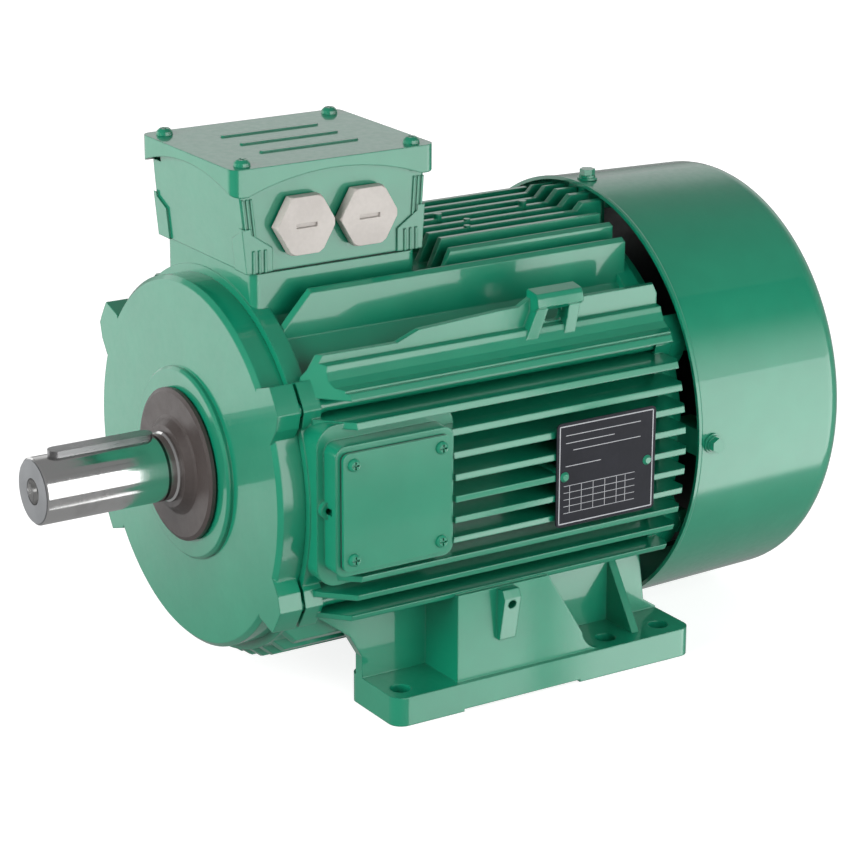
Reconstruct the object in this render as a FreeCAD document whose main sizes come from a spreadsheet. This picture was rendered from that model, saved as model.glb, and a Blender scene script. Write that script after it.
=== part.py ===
import FreeCAD, Part
import Sketcher
import math
import os

# Foot-mounted three-phase cage motor, frame size 132, fan-cooled, with a
# finned aluminium housing.  Millimetres.
#
# Every shape is drawn in one working frame: x across the motor, y along the
# shaft from the shaft's shoulder towards the fan, z up from the foot plane.
# Each finished piece is then moved along y, so that the origin of the part
# is the middle of the four foot bolts, on the foot plane.

SIZES = {
    # feet and fixing holes (shaft height 132, gauge 216, spans 140 and 178)
    "axis_height": 132, "foot_setback": 89, "foot_span": 140, "foot_span_long": 178,
    "foot_gauge": 216, "foot_hole_r": 6, "foot_half_width": 121.5, "foot_inner": 70,
    "foot_front": 78, "foot_rear": 282, "foot_thick": 17, "foot_relief": 1.5,
    "front_pad_end": 123, "rear_pad_start": 202, "foot_corner_r": 8,
    "web_face": 118.5, "web_thick": 5, "foot_wall": 85, "web_front": 120,
    "web_top_rear": 181, "web_foot_rear": 207,
    # housing
    "frame_front": 30.5, "frame_rear": 273, "bore_r": 100, "barrel_r": 106,
    "spigot_r": 102.5, "spigot_depth": 5.5, "ring_r": 110.5, "ring_width": 10.5,
    "fin_reach_r": 132, "top_reach_r": 125.5, "fin_top": 118.7, "fin_bottom": 116, "fin_thick": 3.6,
    "top_pitch": 12.6, "side_pitch": 12.2, "shelf_rise": 63, "ledge_rise": 77.5,
    "shoulder_fin_x": 94.5, "shoulder_fin_rise": 90, "fin_rear": 268, "cowl_fin_rear": 278,
    "pedestal_half": 50, "pedestal_rear": 135, "pedestal_top": 250,
    # tie rods
    "rod_x": 99, "rod_rise": 55.5, "rod_r": 3.6, "rod_thread_r": 4,
    # shaft line
    "shaft_reach": 80, "shaft_r": 19, "journal_r": 20, "spine_r": 23, "fan_seat_r": 17.5,
    "key_width": 10, "key_length": 63, "key_setback": 10, "key_rise": 22, "key_seat": 14,
    "centre_thread_r": 5.1, "centre_depth": 28,
    # bearings: 40 x 90 x 23 at the drive end, 40 x 80 x 18 at the fan end
    "front_brg": 19, "front_brg_w": 23, "front_brg_r": 45,
    "rear_brg": 269, "rear_brg_w": 18, "rear_brg_r": 40, "cap_pitch_r": 51,
    # active parts
    "stack_front": 85, "stack_length": 140, "air_bore_r": 62.5, "rotor_r": 62, "slot_depth": 20,
    # drive-end shield
    "shield_face": 14.5, "shield_r": 106, "collar_face": 11, "collar_r": 55, "ear_r": 119,
    "hub_r": 57, "ear_back": 28.5, "seal_face": 6.4, "seal_r": 43.7,
    # fan cover
    "cowl_front": 276.5, "cowl_r": 129, "cowl_rear_r": 126.5, "cowl_rear": 388,
    "cowl_skin": 1.6, "cowl_corner": 14, "cowl_screw": 286.5,
    # terminal box
    "box_front": 28, "box_rear": 137, "box_half": 50, "box_wall": 4, "box_floor": 251,
    "flare_front": 5.5, "flare_rear": 3.5, "lid_front": 18, "lid_rear": 145.5, "lid_half": 53.5, "lid_skirt": 292.7, "lid_top": 309.7,
    "lid_skin": 3, "arch_r": 147, "plug_one": 60.6, "plug_two": 100.2, "plug_height": 275.6,
    "plug_flats": 32, "plug_shank_r": 12,
    # side cover and nameplate
    "seat_face": 129, "plate_front": 38.5, "plate_rear": 106.5, "plate_low": 103.5,
    "plate_high": 170, "name_front": 175, "name_rear": 242.5, "name_low": 102.5,
    "name_high": 163.5, "name_face": 132.1,
}


class Size:
    """A length that knows both its number and its formula in the sheet."""

    def __init__(self, number, formula):
        self.number = float(number)
        self.formula = formula

    def __add__(self, other):
        other = size(other)
        return Size(self.number + other.number, f"({self.formula} + {other.formula})")

    def __sub__(self, other):
        other = size(other)
        return Size(self.number - other.number, f"({self.formula} - {other.formula})")

    def __mul__(self, factor):
        return Size(self.number * factor, f"({self.formula} * {factor:.9g})")

    def __radd__(self, other):
        return size(other) + self

    def __rsub__(self, other):
        return size(other) - self

    def __rmul__(self, factor):
        return self * factor

    def __truediv__(self, factor):
        return self * (1 / factor)

    def __neg__(self):
        return self * -1


def size(value):
    if isinstance(value, Size):
        return value
    return Size(value, f"({float(value):.9g})")


class Dims:
    """The driving dimensions, read as dims.alias."""

    def __init__(self, sheet):
        for row, (alias, value) in enumerate(SIZES.items(), start=1):
            sheet.set(f"A{row}", alias)
            sheet.set(f"B{row}", str(value))
            sheet.setAlias(f"B{row}", alias)
            setattr(self, alias, Size(value, f"{sheet.Label}.{alias}"))


doc = FreeCAD.newDocument("motor")
sheet = doc.addObject("Spreadsheet::Sheet", "dims")
dims = Dims(sheet)
doc.recompute()
nodes = []

AXES = {
    "x": FreeCAD.Rotation(FreeCAD.Vector(0, 1, 0), 90),
    "y": FreeCAD.Rotation(FreeCAD.Vector(1, 0, 0), -90),
    "z": FreeCAD.Rotation(),
}
H = dims.axis_height
COWL_FIXINGS = (0, 90, 270)
BOX_SCREWS = [(x, y) for x in (-41, 41) for y in (62, 105)]
PLATE_SCREWS = [(y, z) for y in (45, 100) for z in (110, 163.5)]


# ---------------------------------------------------------------- primitives

def bind(thing, **sizes):
    for name, value in sizes.items():
        thing.setExpression(name, size(value).formula)
    return thing


def place(thing, x=0, y=0, z=0):
    thing.setExpression("Placement.Base.x", size(x).formula)
    thing.setExpression("Placement.Base.y", size(y).formula)
    thing.setExpression("Placement.Base.z", size(z).formula)
    return thing


def box(x, y, z):
    """A block between two stations along each axis."""
    made = doc.addObject("Part::Box", "block")
    bind(made, Length=x[1] - size(x[0]), Width=y[1] - size(y[0]), Height=z[1] - size(z[0]))
    return place(made, x[0], y[0], z[0])


def rod(axis, radius, start, end, x=0, y=0, z=0):
    """A cylinder along an axis, from start to end."""
    made = doc.addObject("Part::Cylinder", "rod")
    made.Placement.Rotation = AXES[axis]
    bind(made, Radius=radius, Height=end - size(start))
    at = {"x": x, "y": y, "z": z, axis: start}
    return place(made, **at)


def cone(axis, radii, start, end, x=0, y=0, z=0):
    made = doc.addObject("Part::Cone", "cone")
    made.Placement.Rotation = AXES[axis]
    bind(made, Radius1=radii[0], Radius2=radii[1], Height=end - size(start))
    at = {"x": x, "y": y, "z": z, axis: start}
    return place(made, **at)


def hexagon(axis, flats, start, end, x=0, y=0, z=0, turn=0):
    """A hexagonal block along an axis, measured across its flats."""
    made = doc.addObject("Part::Prism", "hexagon")
    made.Polygon = 6
    made.Placement.Rotation = AXES[axis].multiply(FreeCAD.Rotation(FreeCAD.Vector(0, 0, 1), turn))
    bind(made, Circumradius=size(flats) / math.sqrt(3), Height=end - size(start))
    at = {"x": x, "y": y, "z": z, axis: start}
    return place(made, **at)


def ball(radius, x, y, z):
    made = doc.addObject("Part::Sphere", "ball")
    return place(bind(made, Radius=radius), x, y, z)


def ring(pitch_r, tube_r, station):
    """A torus about the shaft axis."""
    made = doc.addObject("Part::Torus", "ring")
    made.Placement.Rotation = AXES["y"]
    return place(bind(made, Radius1=pitch_r, Radius2=tube_r), 0, station, H)


def fuse(*things):
    made = doc.addObject("Part::MultiFuse", "fused")
    made.Shapes = list(things)
    return made


def group(*things):
    made = doc.addObject("Part::Compound", "group")
    made.Links = list(things)
    return made


def cut(base, *tools):
    made = doc.addObject("Part::Cut", "cut")
    made.Base = base
    made.Tool = tools[0] if len(tools) == 1 else group(*tools)
    return made


def common(first, second):
    made = doc.addObject("Part::Common", "common")
    made.Base = first
    made.Tool = second
    return made


def turned_to(thing, turns):
    """Copies of a thing, turned about the shaft axis; it is drawn about z = 0."""
    copies = []
    for turn in turns:
        made = group(thing)
        made.Placement.Rotation = FreeCAD.Rotation(FreeCAD.Vector(0, 1, 0), turn)
        copies.append(place(made, 0, 0, H))
    return copies


def about_shaft(thing, count):
    return turned_to(thing, [360.0 * index / count for index in range(count)])


# ------------------------------------------------------------------ sketches

PLANES = {"XY": "z", "XZ": "y", "YZ": "x"}


def arc_centre(start, end, radius):
    """The centre of an arc; a positive radius lies left of the way travelled."""
    middle = (start + end) * 0.5
    chord = end - start
    lift = math.sqrt(max(radius * radius - chord.Length ** 2 / 4, 0.0))
    left = FreeCAD.Vector(-chord.y, chord.x, 0).normalize()
    return middle + left * (lift if radius > 0 else -lift)


def draw(body, plane, outline, offset=0):
    """A closed sketch.  A corner is (a, b), or (a, b, r) to leave it on an arc."""
    sketch = body.newObject("Sketcher::SketchObject", "outline")
    role = f"{plane}_Plane"
    base = next(f for f in body.Origin.OriginFeatures if f.Role == role)
    sketch.AttachmentSupport = [(base, "")]
    sketch.MapMode = "FlatFace"
    sign = -1 if plane == "XZ" else 1
    sketch.setExpression("AttachmentOffset.Base.z", (sign * size(offset)).formula)
    corners = [(size(c[0]), size(c[1]), c[2] if len(c) > 2 else None) for c in outline]
    spots = [FreeCAD.Vector(a.number, b.number, 0) for a, b, _ in corners]
    starts = []
    for index, (_, _, radius) in enumerate(corners):
        here, there = spots[index], spots[(index + 1) % len(spots)]
        if radius is None:
            sketch.addGeometry(Part.LineSegment(here, there), False)
            starts.append((index, 1, 2))
            continue
        centre = arc_centre(here, there, radius)
        circle = Part.Circle(centre, FreeCAD.Vector(0, 0, 1), abs(radius))
        first = math.atan2(here.y - centre.y, here.x - centre.x)
        last = math.atan2(there.y - centre.y, there.x - centre.x)
        if radius > 0:
            sketch.addGeometry(Part.ArcOfCircle(circle, first, last), False)
            starts.append((index, 1, 2))
        else:
            sketch.addGeometry(Part.ArcOfCircle(circle, last, first), False)
            starts.append((index, 2, 1))
    tie = []
    for index, (edge, _, end) in enumerate(starts):
        after, start, _ = starts[(index + 1) % len(starts)]
        tie.append(Sketcher.Constraint("Coincident", edge, end, after, start))
    sketch.addConstraint(tie)
    for (edge, start, _), (a, b, radius) in zip(starts, corners):
        for kind, length in (("DistanceX", a), ("DistanceY", b)):
            number = sketch.addConstraint(
                Sketcher.Constraint(kind, -1, 1, edge, start, length.number))
            sketch.setExpression(f"Constraints[{number}]", length.formula)
        if radius is not None:
            sketch.addConstraint(Sketcher.Constraint("Radius", edge, abs(radius)))
    return sketch


def prism(plane, outline, start, end):
    """An outline carried square to its plane, from start to end."""
    body = doc.addObject("PartDesign::Body", "prism")
    sketch = draw(body, plane, outline, start)
    pad = body.newObject("PartDesign::Pad", "pad")
    pad.Profile = sketch
    pad.Reversed = plane == "XZ"
    bind(pad, Length=end - size(start))
    return body


def turned(outline):
    """A turned piece: an outline of (station, radius), spun about the shaft axis."""
    body = doc.addObject("PartDesign::Body", "turned")
    sketch = draw(body, "YZ", outline)
    spin = body.newObject("PartDesign::Revolution", "spin")
    spin.Profile = sketch
    spin.ReferenceAxis = (sketch, ["H_Axis"])
    spin.Angle = 360
    return place(body, 0, 0, H)


def sleeve(inner, outer, start, end):
    return turned([(start, inner), (end, inner), (end, outer), (start, outer)])


def rounded(a, b, r):
    """A rectangle with rounded corners, anticlockwise."""
    (a0, a1), (b0, b1) = a, b
    a0, a1, b0, b1 = size(a0), size(a1), size(b0), size(b1)
    return [(a0 + r, b0), (a1 - r, b0, r), (a1, b0 + r), (a1, b1 - r, r),
            (a1 - r, b1), (a0 + r, b1, r), (a0, b1 - r), (a0, b0 + r, r)]


def node(name, thing):
    """Name a finished piece and move it to the frame of the part."""
    thing.Label = name
    shift = -(dims.foot_setback + dims.foot_span / 2)
    thing.setExpression("Placement.Base.y", shift.formula)
    nodes.append(thing)
    return thing


def screw(axis, head_r, head_h, shank_r, seat, depth, x=0, y=0, z=0, out=1, head="pan"):
    """A screw whose head stands on a seat and whose shank goes in behind it."""
    seat = size(seat)
    top = seat + out * head_h
    low, high = (seat, top) if out > 0 else (top, seat)
    if head == "hex":
        cap = hexagon(axis, 2 * head_r, low, high, x, y, z)
    else:
        waist = seat + out * 0.55 * head_h
        skirt = sorted((seat, waist), key=lambda s: s.number)
        dome = sorted((waist, top), key=lambda s: s.number)
        radii = ((head_r, 0.93 * head_r), (0.93 * head_r, 0.6 * head_r))
        wide, narrow = radii if out > 0 else [pair[::-1] for pair in radii]
        cap = fuse(cone(axis, wide, *skirt, x, y, z), cone(axis, narrow, *dome, x, y, z))
    foot = seat - out * depth
    low, high = (foot, seat) if out > 0 else (seat, foot)
    body = fuse(cap, rod(axis, shank_r, low, high, x, y, z))
    if head == "hex":
        return body
    centre = {"x": size(x), "y": size(y), "z": size(z)}
    cutters = []
    across = [name for name in "xyz" if name != axis]
    for long_way in across:
        span = {}
        for name in across:
            half = 0.58 * head_r if name == long_way else 0.5
            span[name] = (centre[name] - half, centre[name] + half)
        deep = top - out * head_h * 0.6
        proud = top + out * 1.0
        span[axis] = (deep, proud) if out > 0 else (proud, deep)
        cutters.append(box(span["x"], span["y"], span["z"]))
    return cut(body, *cutters)


# ------------------------------------------------------------------- housing

def fins():
    """Cooling fins: upright ones above and below, level ones at the sides."""
    half = dims.fin_thick / 2
    reach = dims.fin_reach_r
    front, rear = dims.frame_front, dims.fin_rear
    inside = turned([(front, 98), (front, dims.ring_r), (53, reach), (rear - 3, reach),
                     (rear, reach - 4), (rear, 98)])
    level = []
    for side in (-1, 1):
        x = side * dims.shoulder_fin_x
        rise = H + dims.shoulder_fin_rise
        level.append(box((x - half, x + half), (30, 270), (H + dims.shelf_rise, rise)))
        wedge = [(side * a, H + b) for a, b in (
            (88, 60), (113, 62), (113, 66), (108, 67), (104, 70), (101.5, 74.5),
            (100.5, dims.ledge_rise), (94, dims.ledge_rise + 1))]
        level.append(prism("XZ", wedge, 36, rear))
    for step in range(-4, 5):
        z = H + dims.side_pitch * step
        level.append(box((-reach, reach), (36, 270), (z - half, z + half)))
    for rise in (dims.shelf_rise, -dims.shelf_rise):
        z = H + rise
        level.append(box((-reach, reach), (33, 270), (z - half, z + half)))
    level = common(fuse(*level), inside)

    top_reach = dims.top_reach_r
    beside = turned([(front, 98), (front, 103), (37.5, 106), (58.6, top_reach),
                     (rear, top_reach), (rear, 98)])
    upright = []
    for side in (-1, 1):
        x = side * dims.top_pitch * 5
        upright.append(box((x - half, x + half), (30, 270), (H, H + dims.fin_top)))
    upright = common(group(*upright), beside)

    short_fins = []
    for step in range(-4, 5):
        x = dims.top_pitch * step
        short_fins.append(box((x - half, x + half), (125, 270), (H, H + dims.fin_top)))
    slope = prism("YZ", [(132, 195), (300, 195), (300, 262), (163.5, 262)], -70, 70)
    short_fins = common(common(group(*short_fins), slope), beside)

    raised = []
    for step in range(-2, 3):
        x = dims.top_pitch * step
        raised.append(box((x - half, x + half), (248, dims.cowl_fin_rear), (H + 100, H + 130)))
    step_up = turned([(248, 100), (256, dims.fin_top - 1), (264, top_reach),
                      (dims.cowl_fin_rear, top_reach), (dims.cowl_fin_rear, 107), (272.5, 107),
                      (272.5, 100)])
    raised = common(group(*raised), step_up)

    knobs = []
    for step, y, radius, rise in ((0, 181, 2.4, 3), (0, 240, 2.4, 3), (1, 193, 2, 1), (2, 185, 2, 1)):
        top = H + dims.fin_top
        knobs.append(rod("z", radius, top - 2, top + rise, x=step * dims.top_pitch, y=y))

    lower = []
    for step in range(-6, 7):
        x = dims.top_pitch * step
        lower.append(box((x - half, x + half), (30, 270), (H - 125, H)))
    lower_inside = turned([(front, 98), (front, dims.ring_r - 1.5), (40, dims.fin_bottom),
                           (rear, dims.fin_bottom), (rear, 98)])
    lower = common(group(*lower), lower_inside)
    return [level, upright, short_fins, raised, lower] + knobs


def foot(side):
    """One foot: sole, inner wall, outer web, cross ribs and the shelf above them."""
    pieces = []
    span = sorted((side * dims.foot_inner, side * dims.foot_half_width), key=lambda s: s.number)
    sole = rounded(span, (dims.foot_front, dims.foot_rear), SIZES["foot_corner_r"])
    pieces.append(prism("XY", sole, 0, dims.foot_thick))
    wall = sorted((side * dims.foot_wall, side * (dims.foot_wall - 7)), key=lambda s: s.number)
    profile = [(dims.foot_front, 8), (dims.foot_rear, 8), (dims.foot_rear, 18), (273, 24),
               (268, 62), (268, 82), (46, 82), (46, 62), (70, 44), (dims.foot_front, 30)]
    pieces.append(prism("YZ", profile, wall[0], wall[1]))
    shelf_low = H - dims.shelf_rise
    web = sorted((side * dims.web_face, side * (dims.web_face - dims.web_thick)),
                 key=lambda s: s.number)
    outline = [(dims.web_front, 8), (dims.web_foot_rear + 14, 8), (dims.web_foot_rear + 14, 17, -14),
               (dims.web_foot_rear - 2, 29), (dims.web_top_rear, shelf_low),
               (dims.web_front, shelf_low)]
    pieces.append(prism("YZ", outline, web[0], web[1]))
    across = sorted((side * (dims.foot_wall - 2), side * (dims.web_face - 0.5)),
                    key=lambda s: s.number)
    pieces.append(box(across, (dims.web_front, dims.web_front + 5), (8, shelf_low)))
    slanted = [(dims.web_foot_rear - 7, 16), (dims.web_foot_rear + 2, 16),
               (dims.web_top_rear, shelf_low), (dims.web_top_rear - 5, shelf_low)]
    pieces.append(prism("YZ", slanted, across[0], across[1]))
    gusset = [(side * (dims.foot_wall - 2), 16), (side * 112, 16), (side * (dims.foot_wall - 2), 58)]
    if side < 0:
        gusset.reverse()
    pieces.append(prism("XZ", gusset, 246, 251))
    return pieces


def foot_holes():
    holes = []
    for side in (-1, 1):
        for reach in (0, dims.foot_span, dims.foot_span_long):
            y = dims.foot_setback + reach
            holes.append(rod("z", dims.foot_hole_r, -1, 20, side * dims.foot_gauge / 2, y))
        inner, outer = dims.foot_wall + 2, dims.web_face - dims.web_thick - 2
        span = sorted((side * inner, side * outer), key=lambda s: s.number)
        holes.append(prism("XY", rounded(span, (128, 196), 5), -1, dims.foot_thick + 1))
    relief = box((-130, 130), (dims.front_pad_end, dims.rear_pad_start), (-1, dims.foot_relief))
    return holes + [relief]


def lug(side):
    """A cast lifting lug on the shoulder fin: a slab on two splayed legs, and a ramp up to it."""
    outline = [(92.7, 222), (92.7, 229.5), (94, 231), (102.5, 229.6), (104, 227), (105, 222.5),
               (101, 219.5), (94, 218)]
    outline = [(side * a, b) for a, b in outline]
    pieces = [prism("XZ", outline, 180.5, 211)]
    span = sorted((side * 93, side * 102.5))
    for legs in ([(173, 202), (181, 202), (189, 221), (181.5, 221)],
                 [(199.5, 202), (206.5, 202), (210.5, 221), (203, 221)]):
        pieces.append(prism("YZ", legs, span[0], span[1]))
    fin = sorted((side * 92.7, side * 96.3))
    ramp = [(166, 218), (181, 218), (181, 226.5)]
    pieces.append(prism("YZ", ramp, fin[0], fin[1]))
    return pieces


def lug_eye(side):
    span = sorted((side * 80, side * 112))
    eye = rounded((189.5, 202), (211, 219), 3.5)
    return prism("YZ", eye, span[0], span[1])


def earth_lug():
    """A tapered boss on the visible web for the earthing screw."""
    outline = [(118, 38), (121.5, 38), (126.5, 64), (124, 68.5), (118, 68.5)]
    outline.reverse()
    return prism("XZ", outline, 146, 157)


def build_frame():
    barrel = rod("y", dims.barrel_r, dims.frame_front, dims.frame_rear, z=H)
    front_ring = rod("y", dims.ring_r, dims.frame_front, dims.frame_front + dims.ring_width, z=H)
    rear_ring = rod("y", dims.ring_r, dims.frame_rear - dims.ring_width, dims.frame_rear, z=H)
    half = dims.pedestal_half
    stem = prism("XY", rounded((-half, half), (dims.frame_front + 0.5, dims.pedestal_rear), 5),
                 200, dims.pedestal_top)
    boss = prism("YZ", rounded((31, 117), (91, 182), 12), 92, 117)
    seat = prism("YZ", rounded((35.5, 109.5), (100, 173.5), 6), 92, dims.seat_face)
    dimple = rod("x", 5, 92, 120.5, y=36.5, z=136)
    rivet_pads = [rod("x", 4.2, 108, dims.fin_reach_r - 0.1, y=y, z=H)
                  for y in (dims.name_front + 5.5, dims.name_rear - 5.5)]
    pieces = [barrel, front_ring, rear_ring, stem, boss, seat, dimple, earth_lug()]
    pieces += fins() + rivet_pads
    pieces += ears(dims.frame_front, dims.frame_front + 11)
    pieces += ears(dims.frame_rear - 11, dims.frame_rear)
    for side in (-1, 1):
        pieces += foot(side)
        pieces += lug(side)
    solid = fuse(*pieces)

    bore = rod("y", dims.bore_r, 20, 290, z=H)
    front_spigot = rod("y", dims.spigot_r, 20, dims.frame_front + dims.spigot_depth, z=H)
    rear_spigot = rod("y", dims.spigot_r, dims.frame_rear - dims.spigot_depth, 290, z=H)
    chamber = prism("XY", rounded((-34, 34), (50, 117), 6), 239, 255)
    passage = rod("z", 22, 215, 245, y=84)
    cover_well = prism("YZ", rounded((48, 97), (113, 160), 6), 113, 135)
    above_seat = box((dims.seat_face, 135), (35.5, 109.5), (100, 173.5))
    dimple_hole = rod("x", 2, 112, 125, y=36.5, z=136)
    earth_hole = rod("x", 2.6, 114, 130, y=151.5, z=60)
    rivet_holes = [rod("x", 1.6, 124, 140, y=y, z=H)
                   for y in (dims.name_front + 5.5, dims.name_rear - 5.5)]
    base_screws = [rod("z", 2.5, 238, 255, x=x, y=y) for x, y in BOX_SCREWS]
    plate_screws = [rod("x", 2, 121, 131, y=y, z=z) for y, z in PLATE_SCREWS]
    eyes = [lug_eye(side) for side in (-1, 1)]
    lowered = [(29, 214.5), (94, 214), (108, 219.3), (165, 222.2), (165, 226), (29, 226)]
    shoulders = [prism("YZ", lowered, *sorted((side * 90, side * 98))) for side in (-1, 1)]
    tools = shoulders + [bore, front_spigot, rear_spigot, chamber, passage, cover_well, above_seat]
    tools += [dimple_hole, earth_hole]
    tools += rivet_holes + base_screws + plate_screws + foot_holes() + eyes
    for side in (-1, 1):
        for rise in (-1, 1):
            tools.append(rod("y", 5, 29, 276, x=side * dims.rod_x, z=H + rise * dims.rod_rise))
    node("stator_frame", cut(solid, *tools))


# --------------------------------------------------------------- end shields

def ears(start, end):
    """Four ears for the tie rods, each sheer on one side and blended on the other."""
    made = []
    for side in (-1, 1):
        for rise in (-1, 1):
            polar = [(88, 27), (104, 21.5), (113, 24.5), (dims.ear_r, 28), (dims.ear_r, 36),
                     (105, 38.5)]
            outline = []
            for radius, angle in polar:
                turn = math.radians(angle)
                outline.append((side * math.cos(turn) * size(radius),
                                H + rise * math.sin(turn) * size(radius)))
            outline[3] += (side * rise * SIZES["ear_r"],)
            made.append(prism("XZ", outline, start, end))
    return made


def rod_holes(radius, start, end):
    return [rod("y", radius, start, end, x=side * dims.rod_x, z=H + rise * dims.rod_rise)
            for side in (-1, 1) for rise in (-1, 1)]


def build_front_shield():
    face, back = dims.shield_face, dims.frame_front
    end = dims.front_brg + dims.front_brg_w
    bore_r = dims.front_brg_r
    turn = turned([
        (dims.collar_face, 24), (dims.collar_face, dims.collar_r - 1.5),
        (dims.collar_face + 1.5, dims.collar_r), (face, dims.collar_r),
        (face, dims.shield_r - 2.5), (face + 2.5, dims.shield_r), (back, dims.shield_r),
        (back, dims.spigot_r), (back + dims.spigot_depth, dims.spigot_r),
        (back + dims.spigot_depth, 96), (face + 7, 94), (face + 7, dims.hub_r), (end + 4, dims.hub_r),
        (end + 4, bore_r), (dims.front_brg, bore_r), (dims.front_brg, 24)])
    solid = fuse(turn, *ears(face, dims.ear_back))
    tap = rod("y", 2.5, end - 8, end + 5, z=dims.cap_pitch_r)
    holes = rod_holes(dims.rod_thread_r, face + 4, back) + about_shaft(tap, 3)
    node("drive_end_shield", cut(solid, *holes))


def build_rear_shield():
    face = dims.frame_rear
    start = dims.rear_brg
    bore_r = dims.rear_brg_r
    end = start + dims.rear_brg_w
    turn = turned([
        (face - dims.spigot_depth, 96), (face, 94), (face + 1, 50), (start - 4, 50),
        (start - 4, bore_r), (end + 2, bore_r), (end + 2, 24), (end + 6, 24), (end + 6, 49),
        (face + 8, 50), (face + 8, dims.shield_r), (face, dims.shield_r), (face, dims.spigot_r),
        (face - dims.spigot_depth, dims.spigot_r)])
    pad = box((-8, 8), (dims.cowl_fin_rear + 1, 294), (99, dims.cowl_r - dims.cowl_skin - 1))
    pads = turned_to(pad, COWL_FIXINGS)
    solid = fuse(turn, *(ears(face, face + 10) + pads))
    holes = rod_holes(dims.rod_thread_r, face - 2, face + 12)
    tap = rod("z", 2.5, 112, 130, y=dims.cowl_screw)
    node("fan_end_shield", cut(solid, *(holes + turned_to(tap, COWL_FIXINGS))))


def build_tie_rods():
    rods = []
    nuts = []
    front = dims.shield_face + 4
    seat = dims.frame_rear + 10
    for side in (-1, 1):
        for rise in (-1, 1):
            at = {"x": side * dims.rod_x, "z": H + rise * dims.rod_rise}
            shank = rod("y", dims.rod_r, front + 26, seat - 14, **at)
            near = rod("y", dims.rod_thread_r, front, front + 26, **at)
            far = rod("y", dims.rod_thread_r, seat - 14, seat + 9, **at)
            rods.append(fuse(shank, near, far))
            nut = hexagon("y", 13, seat, seat + 6.5, **at)
            nuts.append(cut(nut, rod("y", dims.rod_thread_r, seat - 1, seat + 8, **at)))
    node("tie_rods", group(*rods))
    node("tie_rod_nuts", group(*nuts))


# ------------------------------------------------------------------ windings

def build_stator():
    front, rear = dims.stack_front, dims.stack_front + dims.stack_length
    core = sleeve(dims.air_bore_r, dims.bore_r, front, rear)
    slot = box((-2.6, 2.6), (front - 1, rear + 1), (dims.air_bore_r + 1.5,
                                                    dims.air_bore_r + 1.5 + dims.slot_depth))
    mouth = box((-1.2, 1.2), (front - 1, rear + 1), (dims.air_bore_r - 2, dims.air_bore_r + 3))
    node("stator_core", cut(core, *about_shaft(fuse(slot, mouth), 36)))
    bar = box((-2.2, 2.2), (front - 2, rear + 2), (dims.air_bore_r + 3.5,
                                                   dims.air_bore_r + 1 + dims.slot_depth))
    ends = []
    for low, high in ((front - 38, front - 2), (rear + 2, rear + 38)):
        ends.append(turned([
            (low + 8, 66), (high - 8, 66, None), (high, 70), (high, 86), (high - 8, 91),
            (low + 8, 91), (low, 85), (low, 72)]))
    node("stator_winding", fuse(*(ends + about_shaft(bar, 36))))


# --------------------------------------------------------------------- rotor

def build_shaft():
    reach = dims.shaft_reach
    front = dims.front_brg
    end = dims.rear_brg + dims.rear_brg_w
    shaft_r, journal = dims.shaft_r, dims.journal_r
    body = turned([
        (-reach, 0), (-reach, shaft_r - 1.2), (1.2 - reach, shaft_r), (-1, shaft_r),
        (0, journal), (front + dims.front_brg_w, journal),
        (front + dims.front_brg_w, dims.spine_r + 1), (50, dims.spine_r + 1), (50, dims.spine_r),
        (255, dims.spine_r), (dims.rear_brg, dims.spine_r + 1), (dims.rear_brg, journal),
        (end, journal), (end, dims.fan_seat_r), (343, dims.fan_seat_r), (345, dims.fan_seat_r - 1.5),
        (345, 0)])
    seat_end = dims.key_setback + dims.key_length
    half = dims.key_width / 2
    keyway = prism("XY", rounded((-half, half), (dims.key_setback - reach, seat_end - reach), 4.99),
                   H + dims.key_seat, H + 25)
    drill = rod("y", dims.centre_thread_r, -reach - 1, dims.centre_depth - reach, z=H)
    mouth = cone("y", (7.6, 6), -reach, 5 - reach, z=H)
    land = turned([(-reach - 2, 5), (-reach - 2, 7.6), (-reach, 7.6), (5 - reach, 6), (5 - reach, 5)])
    groove = sleeve(journal - 1.2, 30, front - 2.2, front - 0.4)
    fan_groove = sleeve(dims.fan_seat_r - 1, 20, 335.2, 336.9)
    fan_key = box((-3, 3), (311, 334), (H + 13.5, H + 22))
    node("shaft", cut(body, keyway, drill, mouth, land, groove, fan_groove, fan_key))


def build_keys():
    half = dims.key_width / 2
    start = dims.key_setback - dims.shaft_reach
    bar = prism("XY", rounded((-half, half), (start, start + dims.key_length), 4.99),
                H + dims.key_seat, H + dims.key_rise)
    node("shaft_key", bar)
    node("fan_key", group(box((-3, 3), (311, 334), (H + 13.5, H + 19.8))))


def build_rotor():
    front, rear = dims.stack_front, dims.stack_front + dims.stack_length
    core = sleeve(dims.spine_r, dims.rotor_r, front, rear)
    slot = rod("y", 3.2, front - 1, rear + 1, z=dims.rotor_r - 5)
    node("rotor_core", cut(core, *about_shaft(slot, 28)))
    bar = rod("y", 3.2, front, rear, z=dims.rotor_r - 5)
    rings = [sleeve(40, dims.rotor_r - 1.2, front - 12, front),
             sleeve(40, dims.rotor_r - 1.2, rear, rear + 12)]
    vane = box((-2, 2), (front - 26, front - 11), (46, 59))
    far_vane = box((-2, 2), (rear + 11, rear + 26), (46, 59))
    vanes = about_shaft(vane, 14) + about_shaft(far_vane, 14)
    node("rotor_cage", fuse(*(rings + about_shaft(bar, 28) + vanes)))


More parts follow.
